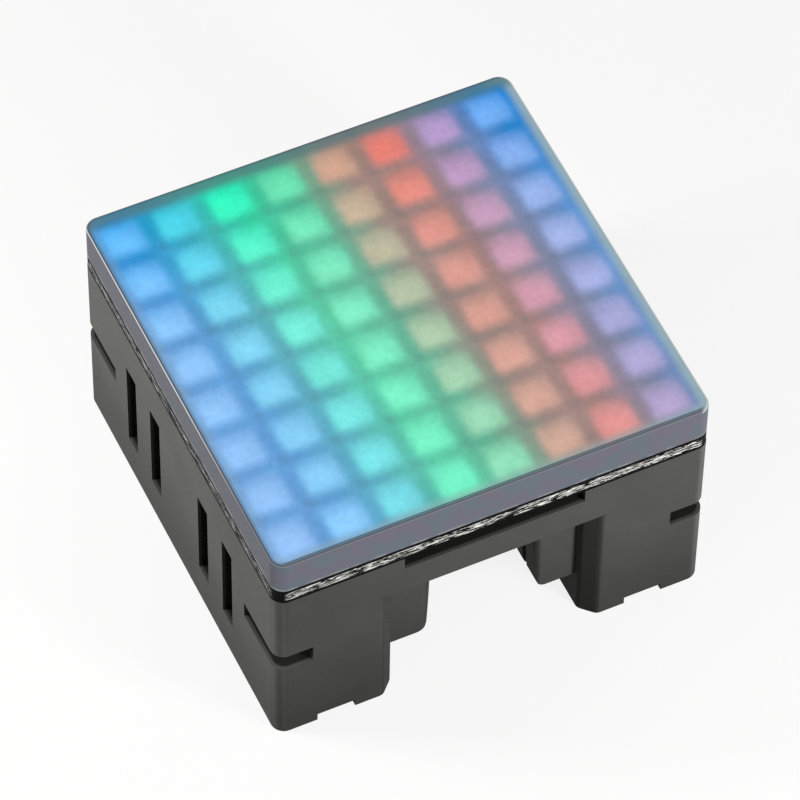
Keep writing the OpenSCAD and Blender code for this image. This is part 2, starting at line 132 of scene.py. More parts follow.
class GapColours(PropertyGroup):
    """Colours that the frosted face shows between the lit cells."""

    gap_0: colour_of("Gap azure", "First colour between cells", 104, 160, 220)
    gap_1: colour_of("Gap blue", "Second colour between cells", 90, 160, 219)
    gap_2: colour_of("Gap teal", "Third colour between cells", 88, 178, 193)
    gap_3: colour_of("Gap green", "Fourth colour between cells", 87, 207, 168)
    gap_4: colour_of("Gap leaf", "Fifth colour between cells", 101, 182, 152)
    gap_5: colour_of("Gap clay", "Sixth colour between cells", 158, 138, 130)
    gap_6: colour_of("Gap rose", "Seventh colour between cells", 168, 130, 126)
    gap_7: colour_of("Gap slate", "Eighth colour between cells", 130, 136, 167)
    gap_8: colour_of("Gap iris", "Last colour between cells", 85, 147, 213)


class BodyColours(PropertyGroup):
    """Colours of the moulded and printed parts."""

    cap: colour_of("Cap plastic", "Milky plastic of the cap's skirt", 62, 62, 66)
    housing: colour_of("Housing plastic", "Matte grey plastic of the housing", 84, 84, 82)
    board: colour_of("LED board", "Black lacquer of the LED board", 6, 6, 7)
    # The fibre's white stands partly for painted glints.
    fibre: colour_of("Glass fibre", "Cut glass fibres along the board's edge", 240, 240, 234)
    driver: colour_of("Driver board", "Lacquer of the driver board", 22, 70, 42)
    floor: colour_of("Floor", "Pale studio floor", 96, 96, 95)


# ---------------------------------------------------------------- node recipes


class Finish:
    """One procedural material, built node by node. Places are read in millimetres."""

    def __init__(self, name):
        self.material = bpy.data.materials.new(name)
        self.material.use_nodes = True
        self.tree = self.material.node_tree
        self.tree.nodes.clear()
        self.output = self.node("ShaderNodeOutputMaterial")
        self.shader = self.node("ShaderNodeBsdfPrincipled")
        self.join(self.shader.outputs[0], self.output.inputs["Surface"])
        coordinates = self.node("ShaderNodeTexCoord")
        self.place = self.vector("SCALE", coordinates.outputs["Object"], scale=1 / MM)
        split = self.node("ShaderNodeSeparateXYZ")
        self.join(self.place, split.inputs[0])
        self.x, self.y, self.z = split.outputs

    def node(self, kind, **settings):
        made = self.tree.nodes.new(kind)
        for key, value in settings.items():
            setattr(made, key, value)
        return made

    def join(self, source, socket):
        """Links a node's output to a socket, or sets the socket to a plain value."""
        if isinstance(source, bpy.types.NodeSocket):
            self.tree.links.new(source, socket)
        elif source is not None:
            if socket.type == "RGBA" and len(source) == 3:
                source = (*source, 1)
            socket.default_value = source

    def sum(self, operation, first, second=None, third=None, clamp=False):
        made = self.node("ShaderNodeMath", operation=operation, use_clamp=clamp)
        for socket, source in zip(made.inputs, (first, second, third)):
            self.join(source, socket)
        return made.outputs[0]

    def times(self, first, *others):
        """The product of several values."""
        for other in others:
            first = self.sum("MULTIPLY", first, other)
        return first

    def vector(self, operation, first, second=None, scale=None):
        made = self.node("ShaderNodeVectorMath", operation=operation)
        self.join(first, made.inputs[0])
        self.join(second, made.inputs[1])
        if scale is not None:
            made.inputs["Scale"].default_value = scale
        return made.outputs["Value"] if operation == "LENGTH" else made.outputs["Vector"]

    def ease(self, value, low, high, start=0.0, end=1.0):
        """Turns value from low to high smoothly into start to end."""
        made = self.node("ShaderNodeMapRange", interpolation_type="SMOOTHSTEP")
        for key, source in zip(("Value", "From Min", "From Max", "To Min", "To Max"),
                               (value, low, high, start, end)):
            self.join(source, made.inputs[key])
        return made.outputs[0]

    def grey(self, value):
        """The same value for red, green and blue."""
        made = self.node("ShaderNodeCombineXYZ")
        for socket in made.inputs:
            self.join(value, socket)
        return made.outputs[0]

    def mix(self, share, first, second, blend="MIX"):
        made = self.node("ShaderNodeMix", data_type="RGBA", blend_type=blend)
        self.join(share, made.inputs["Factor"])
        self.join(first, made.inputs[6])
        self.join(second, made.inputs[7])
        return made.outputs[2]

    def ramp(self, value, stops):
        """A colour sweep through stops of (position, colour)."""
        made = self.node("ShaderNodeValToRGB")
        elements = made.color_ramp.elements
        while len(elements) < len(stops):
            elements.new(0.5)
        for element, (position, colour) in zip(elements, stops):
            element.position = position
            element.color = (*colour, 1)
        self.join(value, made.inputs[0])
        return made.outputs[0]

    def noise(self, where, scale, detail=2.0, rough=0.5):
        made = self.node("ShaderNodeTexNoise")
        self.join(where, made.inputs["Vector"])
        for key, value in (("Scale", scale), ("Detail", detail), ("Roughness", rough)):
            made.inputs[key].default_value = value
        return made.outputs["Fac"]

    def grain(self, scale, detail=2.0, stretch=(1, 1, 1), rough=0.5):
        """Noise with about scale features to the millimetre."""
        return self.noise(self.vector("MULTIPLY", self.place, stretch), scale, detail, rough)

    def bump(self, height, depth):
        """Relief of depth millimetres."""
        made = self.node("ShaderNodeBump")
        made.inputs["Strength"].default_value = 1
        made.inputs["Distance"].default_value = depth * MM
        self.join(height, made.inputs["Height"])
        return made.outputs[0]

    def facing(self):
        """The surface's own direction, in the object's axes."""
        split = self.node("ShaderNodeSeparateXYZ")
        self.join(self.node("ShaderNodeNewGeometry").outputs["Normal"], split.inputs[0])
        return split.outputs

    def set(self, **sockets):
        for key, value in sockets.items():
            self.join(value, self.shader.inputs[key.replace("_", " ")])
        return self.material


def plastic(name, colour, roughness=0.5, grain=3.0, depth=0.01, vary=0.12):
    """Moulded plastic with a fine spark-eroded texture and a slight change of tone."""
    finish = Finish(name)
    tone = finish.grain(0.35, 4)
    darker = [part * (1 - vary) for part in colour]
    lighter = [min(1, part * (1 + vary)) for part in colour]
    fine = finish.grain(grain, 3)
    return finish.set(
        Base_Color=finish.mix(tone, darker, lighter),
        Roughness=finish.ease(fine, 0.3, 0.7, roughness - 0.06, roughness + 0.08),
        Normal=finish.bump(fine, depth),
    )


def metal(name, colour, roughness=0.3, stretch=(1, 1, 1), grain=4.0, tarnish=0.25):
    """Plated or drawn metal, with drawing marks and a little tarnish."""
    finish = Finish(name)
    marks = finish.grain(grain, 3, stretch)
    film = finish.ease(finish.grain(0.8, 4), 0.45, 0.75)
    dull = [part * (1 - tarnish) for part in colour]
    return finish.set(
        Base_Color=finish.mix(film, colour, dull),
        Metallic=1.0,
        Roughness=finish.ease(marks, 0.3, 0.7, roughness - 0.08, roughness + 0.12),
        Normal=finish.bump(marks, 0.004),
    )


def dress(material, *nodes):
    """Gives CAD nodes their finish."""
    for name in nodes:
        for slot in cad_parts[name].material_slots:
            slot.material = material


# ---------------------------------------------------------------- mesh helpers


def piece(name, shape, material, slot, *nodes):
    """Turns a bmesh into a finished piece that stands for CAD nodes."""
    mesh = bpy.data.meshes.new(name)
    shape.to_mesh(mesh)
    shape.free()
    mesh.shade_smooth()
    mesh.set_sharp_from_angle(angle=math.radians(40))
    made = bpy.data.objects.new(name, mesh)
    bpy.context.scene.collection.objects.link(made)
    mesh.materials.append(material)
    even = made.modifiers.new("Even shading", "WEIGHTED_NORMAL")
    even.keep_sharp = True
    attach(made, "root")
    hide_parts(*nodes)
    return made


def round_edges(shape, edges, radius, segments):
    bmesh.ops.bevel(
        shape, geom=edges, offset=radius, offset_type="OFFSET", segments=segments,
        profile=0.5, affect="EDGES", material=-1, clamp_overlap=True,
    )


def upright(edge):
    rise = edge.verts[0].co - edge.verts[1].co
    return abs(rise.z) > 0.9 * rise.length


def level_at(edge, height):
    return all(abs(corner.co.z - height) < 1e-6 for corner in edge.verts)


# ---------------------------------------------------------------- the cap

# A lit cell along one axis, from -0.5 to 0.5: where its light starts and where it is full,
# where the dome over it is highest, and how fast the dome falls away.
CELL_ALONG_X = (-0.53, -0.3, -0.12, 2.5)
CELL_ALONG_Y = (-0.55, -0.26, -0.15, 3.3)

# The sweep of colours: how far it moves on in a row, where it starts, and how many tones.
DRIFT = 0.13
FIRST_TURN = -1.1
TURNS = 8.2

# Tones of the light in the cap, in linear values; the lip and rim tones are painted highlights
CROSSING = (0.09, 0.14, 0.18)
# Pale margins: the cells' glow with a painted highlight over it.
MARGIN_GLOW_AND_HIGHLIGHT = (0.33, 0.44, 0.45)
BACK_MARGIN = (0.075, 0.17, 0.18)
EDGE_LINE = (0.035, 0.08, 0.11)
SIDE_LEAK = (0.038, 0.041, 0.048)
# The front's leak is partly painted light.
FRONT_LEAK_AND_PAINTED_LIGHT = (0.098, 0.108, 0.135)
LIP_HIGHLIGHT = (0.24, 0.25, 0.25)
RIM_FRONT_HIGHLIGHT = (0.15, 0.17, 0.19)
RIM_LEFT_HIGHLIGHT = (0.68, 0.74, 0.76)
RIM_RIGHT_HIGHLIGHT = (0.42, 0.48, 0.48)
RIM_BACK = (0.0, 0.01, 0.01)
FACE_BASE = (0.006, 0.007, 0.008)


def rim_distance(finish, sizes):
    """How far a point lies inside the cap's rounded outline, in millimetres."""
    radius = sizes.cap_corner / MM
    flat = finish.vector("MULTIPLY", finish.place, (1, 1, 0))
    over = finish.vector("SUBTRACT", finish.vector("ABSOLUTE", flat),
                         (HALF - radius, HALF - radius, 0))
    split = finish.node("ShaderNodeSeparateXYZ")
    finish.join(over, split.inputs[0])
    inside = finish.sum("MINIMUM", finish.sum("MAXIMUM", split.outputs[0], split.outputs[1]), 0)
    corner = finish.vector("LENGTH", finish.vector("MAXIMUM", over, (0, 0, 0)))
    return finish.sum("SUBTRACT", radius, finish.sum("ADD", corner, inside))


def cell_axis(finish, place, pitch, shift=0.0):
    """The number of the cell along one axis, and the place inside it from -0.5 to 0.5."""
    along = finish.sum("MULTIPLY_ADD", place, 1 / pitch, CELLS / 2 + shift / pitch)
    number = finish.sum("FLOOR", along)
    number = finish.sum("MINIMUM", finish.sum("MAXIMUM", number, 0), CELLS - 1)
    inside = finish.sum("SUBTRACT", finish.sum("SUBTRACT", along, number), 0.5)
    return along, number, inside


def soft_cell(finish, inside, shape):
    """How lit a point is along one axis of its cell: steep at the low side, domed over."""
    low, high, crown, fall = shape
    off = finish.sum("SUBTRACT", inside, crown)
    dome = finish.sum("MULTIPLY_ADD", finish.sum("MULTIPLY", off, off), -fall, 1, clamp=True)
    return finish.times(finish.ease(inside, low, high), dome)


def cell_light(finish, sizes, lit, gap):
    """The light of 8 x 8 soft squares in a sweep of colours, and of the gaps between them."""
    pitch = sizes.pitch / MM
    along_x, column, in_x = cell_axis(finish, finish.x, pitch, 0.04)
    along_y, row, in_y = cell_axis(finish, finish.y, pitch, 0.19)

    # The sweep moves on by one colour a column, and by a part of one a row towards the back.
    cell_turn = finish.sum("MULTIPLY_ADD", row, DRIFT, finish.sum("ADD", column, -7 * DRIFT))
    cell_share = finish.sum("DIVIDE", finish.sum("SUBTRACT", cell_turn, FIRST_TURN), TURNS)
    edge_turn = finish.sum("MULTIPLY_ADD", along_y, DRIFT,
                           finish.sum("ADD", along_x, -0.5 - 7.5 * DRIFT))
    edge_share = finish.sum("DIVIDE", finish.sum("SUBTRACT", edge_turn, FIRST_TURN), TURNS)
    places = [(k - 1 - FIRST_TURN) / TURNS for k in range(9)]
    lit_colour = finish.ramp(cell_share, [(p, getattr(lit, f"lit_{k}"))
                                          for k, p in enumerate(places)])
    gap_colour = finish.ramp(edge_share, [(p, getattr(gap, f"gap_{k}"))
                                          for k, p in enumerate(places)])

    # Each cell is a soft square, and the baffle's walls show darkest where they cross.
    blur = finish.sum("MULTIPLY_ADD", finish.grain(0.9, 3), 0.07, -0.035)
    in_x = finish.sum("ADD", in_x, blur)
    in_y = finish.sum("SUBTRACT", in_y, blur)
    glow = finish.times(soft_cell(finish, in_x, CELL_ALONG_X),
                        soft_cell(finish, in_y, CELL_ALONG_Y),
                        finish.ease(in_x, 0.2, 0.42, 1.0, 0.0))
    wall_x = finish.ease(finish.sum("ABSOLUTE", in_x), 0.3, 0.5)
    wall_y = finish.ease(finish.sum("ABSOLUTE", in_y), 0.3, 0.5)
    gap_colour = finish.mix(finish.times(wall_x, wall_y, 0.22), gap_colour, CROSSING)
    gap_colour = finish.mix(1.0, gap_colour, (0.93, 0.93, 0.93), "MULTIPLY")
    light = finish.mix(glow, gap_colour, lit_colour)
    cloud = finish.ease(finish.grain(0.3, 3), 0.3, 0.7, 0.96, 1.07)
    frost = finish.ease(finish.grain(1.6, 4, rough=0.7), 0.3, 0.7, 0.95, 1.05)
    light = finish.mix(1.0, light, finish.grey(finish.times(cloud, frost)), "MULTIPLY")

    # The rows at the back are the deepest in colour.
    deep = finish.node("ShaderNodeHueSaturation")
    finish.join(finish.ease(finish.y, 2, HALF, 0.98, 1.18), deep.inputs["Saturation"])
    finish.join(light, deep.inputs["Color"])
    return deep.outputs[0]


def margin_light(finish, inset, edge, light):
    """Margins: paler at the right and the front, dim at the back, with a thin dark line."""
    # The pale margins are the cells' glow with a painted highlight, strongest at the right.
    right = finish.ease(finish.x, 16.5, 19.4, 0.0, 0.8)
    left = finish.ease(finish.x, -19.4, -17, 0.25, 0.0)
    near = finish.ease(finish.y, -19.4, -17, 0.45, 0.0)
    pale = finish.sum("MAXIMUM", right, finish.sum("MAXIMUM", left, near))
    pale = finish.times(pale, finish.ease(inset, 0.3, 1.4, 1.0, 0.0))
    light = finish.mix(pale, light, MARGIN_GLOW_AND_HIGHLIGHT)
    light = finish.mix(finish.ease(finish.y, 17.9, 19.3, 0.0, 0.75), light, BACK_MARGIN)
    from_line = finish.sum("ABSOLUTE", finish.sum("SUBTRACT", inset, edge + 0.04))
    line = finish.times(finish.ease(from_line, 0.02, 0.14, 0.85, 0.0),
                        finish.ease(finish.x, 18.8, 19.4, 1.0, 0.0),
                        finish.ease(finish.x, -19.4, -18.8, 0.35, 1.0),
                        finish.ease(finish.y, 18.8, 19.4, 1.0, 0.35))
    return finish.mix(line, light, EDGE_LINE)


def skirt_light(finish, normal):
    """The cloudy skirt leaks a little light, bluer along the front and painted brighter there."""
    front = finish.ease(finish.times(normal[1], -1), 0.2, 0.9)
    # Painted light: the leak is brighter along the front, which the lamps light less.
    leak = finish.mix(front, SIDE_LEAK, FRONT_LEAK_AND_PAINTED_LIGHT)
    tinge = finish.ease(finish.grain(0.5, 4), 0.38, 0.62)
    tinge = finish.mix(tinge, (1.14, 0.92, 1.0), (0.88, 1.06, 1.03))
    leak = finish.mix(1.0, leak, tinge, "MULTIPLY")
    # A thin painted highlight along the skirt's lower lip.
    low = BOARD_FACES[1]
    lip_highlight = finish.times(finish.ease(finish.z, low + 0.1, low + 0.3, 1.0, 0.0),
                       finish.ease(finish.grain(0.6, 3), 0.4, 0.6))
    return finish.mix(lip_highlight, leak, LIP_HIGHLIGHT)


def rim_painted_highlights(finish, normal, leak):
    """Painted rim highlights: brightest along the left and the right, broken by dark at the back.
    """
    ring = finish.times(finish.ease(normal[2], 0.35, 0.5),
                        finish.ease(normal[2], 0.62, 0.78, 1.0, 0.0))
    outer = finish.times(finish.ease(normal[0], 0.05, 0.2), finish.ease(normal[2], 0.1, 0.3),
                         finish.ease(normal[2], 0.95, 1, 1.0, 0.0))
    rim = finish.sum("MAXIMUM", ring, outer)
    to_left = finish.times(finish.ease(finish.times(normal[0], -1), 0.3, 0.6),
                           finish.ease(finish.y, -16, 2))
    shine = finish.mix(to_left, RIM_FRONT_HIGHLIGHT, RIM_LEFT_HIGHLIGHT)
    shine = finish.mix(finish.ease(normal[0], 0.05, 0.3), shine, RIM_RIGHT_HIGHLIGHT)
    along = finish.vector("MULTIPLY", finish.place, (1, 0, 0))
    broken = finish.ease(finish.noise(along, 0.5, 3), 0.38, 0.5)
    to_back = finish.times(finish.ease(normal[1], 0.2, 0.5), broken)
    shine = finish.mix(to_back, shine, RIM_BACK)
    return finish.mix(rim, leak, shine)


def frosted_finish(sizes, lit, gap, body):
    """Milky plastic, lit from below by 8 x 8 cells in a sweep of colours."""
    finish = Finish("Frosted cap")
    inset = rim_distance(finish, sizes)
    edge = sizes.cap_edge / MM
    light = margin_light(finish, inset, edge, cell_light(finish, sizes, lit, gap))
    face = finish.times(finish.ease(inset, edge - 0.12, edge),
                        finish.ease(finish.z, CAP_TOP - 0.06, CAP_TOP - 0.02))
    normal = finish.facing()
    # leak holds the skirt's light with the painted highlights of its lip and of the rim.
    leak = rim_painted_highlights(finish, normal, skirt_light(finish, normal))
    grain = finish.grain(6, 2)
    return finish.set(
        Base_Color=finish.mix(face, tuple(body.cap), FACE_BASE),
        Roughness=finish.ease(grain, 0.3, 0.7, 0.46, 0.58),
        Normal=finish.bump(grain, 0.006),
        Specular_IOR_Level=0.1,
        Emission_Color=finish.mix(face, leak, light),
        Emission_Strength=1.0,
    )


class MATRIX_OT_frosted_cap(Operator):
    """Model the frosted cap with its skirt and pins, and light its 64 cells"""

    bl_idname = "matrix.frosted_cap"
    bl_label = "Frosted cap"

    def execute(self, context):
        scene = context.scene
        sizes = scene.matrix_sizes
        size = CAP_HIGH - CAP_LOW
        seat = BOARD_HIGH[2]
        height = CAP_HIGH[2] - seat
        shape = bmesh.new()
        bmesh.ops.create_cube(shape, size=1)
        bmesh.ops.scale(shape, vec=(size[0], size[1], height), verts=shape.verts)
        bmesh.ops.translate(shape, vec=(0, 0, seat + height / 2), verts=shape.verts)
        round_edges(shape, [e for e in shape.edges if upright(e)], sizes.cap_corner, 12)
        rim = [e for e in shape.edges if level_at(e, CAP_HIGH[2])]
        round_edges(shape, rim, sizes.cap_edge, 6)

        # The hollow over the baffle
        shape.faces.ensure_lookup_table()
        under = [f for f in shape.faces if f.normal.z < -0.9]
        bmesh.ops.inset_region(shape, faces=under, thickness=sizes.skirt, use_even_offset=True)
        hollow = bmesh.ops.extrude_face_region(shape, geom=under)
        raised = [v for v in hollow["geom"] if isinstance(v, bmesh.types.BMVert)]
        bmesh.ops.translate(shape, vec=(0, 0, height - sizes.face), verts=raised)
        bmesh.ops.delete(shape, geom=under, context="FACES")

        # The pins that reach into the spacers
        pin_top = CAP_HIGH[2] - sizes.face + 0.2 * MM
        pin_length = pin_top - CAP_LOW[2]
        for x in (-sizes.pin_place, sizes.pin_place):
            for y in (-sizes.pin_place, sizes.pin_place):
                place = Matrix.Translation((x, y, CAP_LOW[2] + pin_length / 2))
                pin = bmesh.ops.create_cone(
                    shape, cap_ends=True, segments=32, radius1=sizes.pin_across / 2,
                    radius2=sizes.pin_across / 2, depth=pin_length, matrix=place,
                )
                tip = {e for v in pin["verts"] for e in v.link_edges if level_at(e, CAP_LOW[2])}
                round_edges(shape, list(tip), 0.25 * MM, 3)
        bmesh.ops.recalc_face_normals(shape, faces=shape.faces)
        material = frosted_finish(sizes, scene.lit_colours, scene.gap_colours, scene.body_colours)
        piece("frosted_cap", shape, material, "frosted_cap", "diffuser_cap")
        return {"FINISHED"}


# ---------------------------------------------------------------- the housing


def housing_finish(sizes, body):
    """Matte grey plastic with a fine eroded texture, with painted shade low down and inside the
    cuts.
    """
    finish = Finish("Housing plastic")
    colour = tuple(body.housing)
    tone = finish.mix(finish.grain(0.22, 4), [part * 0.86 for part in colour],
                      [part * 1.14 for part in colour])
    speck = finish.ease(finish.grain(5, 2), 0.62, 0.75, 0.0, 0.25)
    tone = finish.mix(speck, tone, [part * 1.7 for part in colour])

    # Painted shade darkens the insides of the vents, the panel slots and the windows, which see
    # little light.
    across = finish.sum("ABSOLUTE", finish.x)
    beside_bay = finish.ease(across, BAY_WALL, BAY_WALL + 0.3)
    in_window = finish.ease(finish.z, WINDOW_SILL - 0.4, WINDOW_SILL + 0.4)
    inner = finish.times(finish.ease(rim_distance(finish, sizes), 0.12, 0.45),
                         finish.ease(finish.z, 2.5, 4),
                         finish.sum("MAXIMUM", beside_bay, in_window))
    shadow = finish.ease(inner, 0, 1, 1.0, 0.22)

    # Painted shade: it dims towards the feet and on the slants at the mouth of the bay.
    # Painted light makes the slants further out from the bay lighter.
    low = finish.ease(finish.z, 0, 13, 0.66, 0.96)
    normal = finish.facing()
    slant = finish.sum("ABSOLUTE", finish.times(normal[0], normal[1]))
    corner = finish.ease(across, BAY_WALL, BAY_WALL + 0.4, 0.6, 1.55)
    corner = finish.sum("MULTIPLY_ADD", finish.ease(slant, 0.08, 0.42),
                        finish.sum("SUBTRACT", corner, 1), 1)
    painted_shade = finish.times(shadow, low, corner)
    tone = finish.mix(1.0, tone, finish.grey(painted_shade), "MULTIPLY")
    texture = finish.grain(4.5, 3, rough=0.6)
    return finish.set(
        Base_Color=tone,
        Roughness=finish.ease(texture, 0.3, 0.7, 0.56, 0.7),
        Normal=finish.bump(texture, 0.012),
        Specular_IOR_Level=0.03,
    )


class MATRIX_OT_housing(Operator):
    """Round the housing's moulded edges and give it its matte finish with painted shade"""

    bl_idname = "matrix.housing"
    bl_label = "Housing"

    def execute(self, context):
        scene = context.scene
        shape = bmesh.new()
        shape.from_mesh(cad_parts["housing"].data)
        bmesh.ops.remove_doubles(shape, verts=shape.verts, dist=1e-6)
        bmesh.ops.dissolve_limit(
            shape, angle_limit=math.radians(1), use_dissolve_boundaries=False,
            verts=shape.verts, edges=shape.edges,
        )
        least = math.radians(35)
        sharp = [e for e in shape.edges
                 if e.is_manifold and e.is_convex and e.calc_face_angle() > least]
        round_edges(shape, sharp, scene.matrix_sizes.mould_edge, 2)
        # A cut just under the beam keeps the long rounded faces of the legs evenly shaded.
        everything = shape.verts[:] + shape.edges[:] + shape.faces[:]
        bmesh.ops.bisect_plane(shape, geom=everything, dist=1e-7,
                               plane_co=(0, 0, UNDER_BEAM * MM), plane_no=(0, 0, 1))
        material = housing_finish(scene.matrix_sizes, scene.body_colours)
        piece("housing_shell", shape, material, "housing_grey", "housing")
        return {"FINISHED"}


# ---------------------------------------------------------------- boards


def fibre_edge(finish, low, high):
    """Broken bundles of glass fibre along a cut board edge, between two heights in mm."""
    side = finish.sum("ADD", finish.x, finish.y)
    where = finish.node("ShaderNodeCombineXYZ")
    finish.join(side, where.inputs[0])
    finish.join(finish.z, where.inputs[2])
    place = where.outputs[0]
    thread = finish.noise(finish.vector("MULTIPLY", place, (0.4, 1, 3.6)), 1.8, 4, 0.7)
    bundle = finish.noise(finish.vector("MULTIPLY", place, (0.16, 1, 0.8)), 1.2, 2, 0.5)
    streak = finish.times(finish.ease(thread, 0.5, 0.54), finish.ease(bundle, 0.3, 0.42))
    middle = (low + high) / 2
    half = (high - low) / 2
    band = finish.ease(finish.sum("ABSOLUTE", finish.sum("SUBTRACT", finish.z, middle)),
                       half * 0.8, half, 1.0, 0.0)
    return finish.times(streak, band), thread


def led_board_finish(body):
    """Black lacquer with fibre along the cut edges, partly painted glints, black again at the
    corners.
    """
    finish = Finish("LED board")
    normal = finish.facing()
    standing = finish.ease(finish.sum("ABSOLUTE", normal[2]), 0.2, 0.6, 1.0, 0.0)
    low, high = BOARD_FACES
    fibre, thread = fibre_edge(finish, low + 0.3, high - 0.3)
    at_corner = finish.times(*[finish.ease(finish.sum("ABSOLUTE", place), HALF - 1.1, HALF - 0.8)
                               for place in (finish.x, finish.y)])
    # Only a few bundles show on the sides along Y.
    sparse_on_y = finish.ease(finish.sum("ABSOLUTE", normal[0]), 0.4, 0.8, 1.0, 0.3)
    shown = finish.times(fibre, standing, finish.sum("SUBTRACT", 1, at_corner), sparse_on_y)
    return finish.set(
        Base_Color=finish.mix(shown, tuple(body.board), tuple(body.fibre)),
        Roughness=0.55,
        Normal=finish.bump(thread, 0.01),
        Specular_IOR_Level=0.03,
    )


def driver_board_finish(body):
    """Green lacquer with copper runs just showing under it, and a fibre edge."""
    finish = Finish("Driver board")
    colour = tuple(body.driver)
    cells = finish.node("ShaderNodeTexBrick")
    finish.join(finish.place, cells.inputs["Vector"])
    for key, value in (("Scale", 1.1), ("Mortar Size", 0.06), ("Brick Width", 1.4),
                       ("Row Height", 0.55)):
        cells.inputs[key].default_value = value
    run = finish.sum("SUBTRACT", 1, cells.outputs["Fac"])
    patch = finish.ease(finish.grain(0.25, 2), 0.48, 0.52)
    copper = finish.times(run, patch)
    lacquer = finish.mix(finish.times(copper, 0.5), colour, [c * 1.9 for c in colour])
    normal = finish.facing()
    standing = finish.ease(finish.sum("ABSOLUTE", normal[2]), 0.2, 0.6, 1.0, 0.0)
    low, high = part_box("driver_board")
    fibre, thread = fibre_edge(finish, low[2] / MM, high[2] / MM)
    cut = finish.mix(fibre, shade(96, 104, 72), shade(190, 188, 150))
    return finish.set(
        Base_Color=finish.mix(standing, lacquer, cut),
        Roughness=0.35,
        Normal=finish.bump(finish.sum("ADD", copper, finish.times(thread, 0.2)), 0.02),
    )


class MATRIX_OT_boards(Operator):
    """Finish the LED board and the driver board"""

    bl_idname = "matrix.boards"
    bl_label = "Boards"

    def execute(self, context):
        body = context.scene.body_colours
        dress(led_board_finish(body), "led_board")
        dress(driver_board_finish(body), "driver_board")
        return {"FINISHED"}


# ---------------------------------------------------------------- the LEDs and the baffle


def led_finish(pitch):
    """White ceramic body with a clear glossy fill in its round well."""
    finish = Finish("LED package")
    _, _, in_x = cell_axis(finish, finish.x, pitch)
    _, _, in_y = cell_axis(finish, finish.y, pitch)
    square = finish.sum("ADD", finish.times(in_x, in_x), finish.times(in_y, in_y))
    radial = finish.sum("SQRT", square)
    well = finish.ease(radial, 0.145, 0.16, 1.0, 0.0)
    tone = finish.mix(finish.grain(1.5, 3), shade(216, 214, 206), shade(236, 235, 229))
    return finish.set(
        Base_Color=finish.mix(well, tone, shade(206, 208, 196)),
        Roughness=finish.ease(well, 0, 1, 0.5, 0.15),
        Normal=finish.bump(finish.grain(5, 2), 0.004),
    )


class MATRIX_OT_led_grid(Operator):
    """Finish the rows of LEDs and the light baffle round them"""

    bl_idname = "matrix.led_grid"
    bl_label = "LEDs and baffle"

    def execute(self, context):
        pitch = context.scene.matrix_sizes.pitch / MM
        rows = [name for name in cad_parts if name.startswith("led_row")]
        dress(led_finish(pitch), *rows)
        dress(plastic("Light baffle", shade(40, 40, 42), 0.6, 3.5, 0.012), "light_baffle")
        return {"FINISHED"}


# ---------------------------------------------------------------- fasteners and links


class MATRIX_OT_fasteners(Operator):
    """Finish the brass spacers and the steel screws"""

    bl_idname = "matrix.fasteners"
    bl_label = "Spacers and screws"

    def execute(self, context):
        brass = metal("Spacer brass", (0.72, 0.55, 0.26), 0.28, (0.3, 0.3, 6))
        steel = metal("Screw steel", (0.5, 0.5, 0.51), 0.32, (1, 1, 3))
        dress(brass, *[f"spacer_{k}" for k in range(1, 5)])
        dress(steel, *[f"screw_{k}" for k in range(1, 5)])
        return {"FINISHED"}


class MATRIX_OT_links(Operator):
    """Finish the board-to-board links and their solder feet"""

    bl_idname = "matrix.links"
    bl_label = "Board links"

    def execute(self, context):
        dress(plastic("Link plug", shade(214, 204, 180), 0.45, 3, 0.006),
              "link_plug_left", "link_plug_right")
        dress(plastic("Link socket", shade(34, 34, 36), 0.42, 3, 0.008),
              "link_socket_left", "link_socket_right")
        dress(metal("Tinned feet", (0.74, 0.74, 0.72), 0.34, (1, 4, 1)),
              "link_contacts_left", "link_contacts_right")
        return {"FINISHED"}


class MATRIX_OT_cable_socket(Operator):
    """Finish the four-way cable socket and its contacts"""

    bl_idname = "matrix.cable_socket"
    bl_label = "Cable socket"

    def execute(self, context):
        dress(plastic("Cable socket", shade(206, 198, 178), 0.48, 2.5, 0.01), "cable_socket")
        dress(metal("Contact metal", (0.78, 0.72, 0.52), 0.26, (1, 3, 1)), "socket_contacts")
        return {"FINISHED"}


# ---------------------------------------------------------------- electronics


def epoxy():
    """Black moulding compound with fine flecks, as on chip bodies."""
    finish = Finish("Chip epoxy")
    fleck = finish.ease(finish.grain(7, 2), 0.6, 0.72)
    return finish.set(
        Base_Color=finish.mix(fleck, shade(38, 38, 40), shade(66, 66, 68)),
        Roughness=finish.ease(finish.grain(2.5, 3), 0.3, 0.7, 0.46, 0.6),
        Normal=finish.bump(finish.grain(6, 3), 0.01),
    )


def tank_finish():
    """Yellow tantalum body with a plain darker band at one end and tinned tabs."""
    finish = Finish("Tank capacitor")
    low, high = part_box("tank_capacitor")
    left, right = low[0] / MM, high[0] / MM
    band = finish.ease(finish.x, left + 1.4, left + 1.5, 1.0, 0.0)
    tone = finish.mix(finish.grain(1.2, 3), shade(214, 150, 40), shade(232, 172, 62))
    tone = finish.mix(band, tone, shade(120, 66, 20))
    reach = finish.sum("ABSOLUTE", finish.sum("SUBTRACT", finish.x, (left + right) / 2))
    tab = finish.ease(reach, (right - left) / 2 - 0.51, (right - left) / 2 - 0.49)
    return finish.set(
        Base_Color=finish.mix(tab, tone, shade(196, 196, 192)),
        Metallic=tab,
        Roughness=0.4,
        Normal=finish.bump(finish.grain(5, 2), 0.008),
    )


def chip_finish(name, dark, pale):
    """Small ceramic part with a speckled body."""
    finish = Finish(name)
    speckle = finish.grain(3, 3)
    return finish.set(
        Base_Color=finish.mix(speckle, dark, pale),
        Roughness=finish.ease(speckle, 0.3, 0.7, 0.35, 0.55),
        Normal=finish.bump(speckle, 0.01),
    )


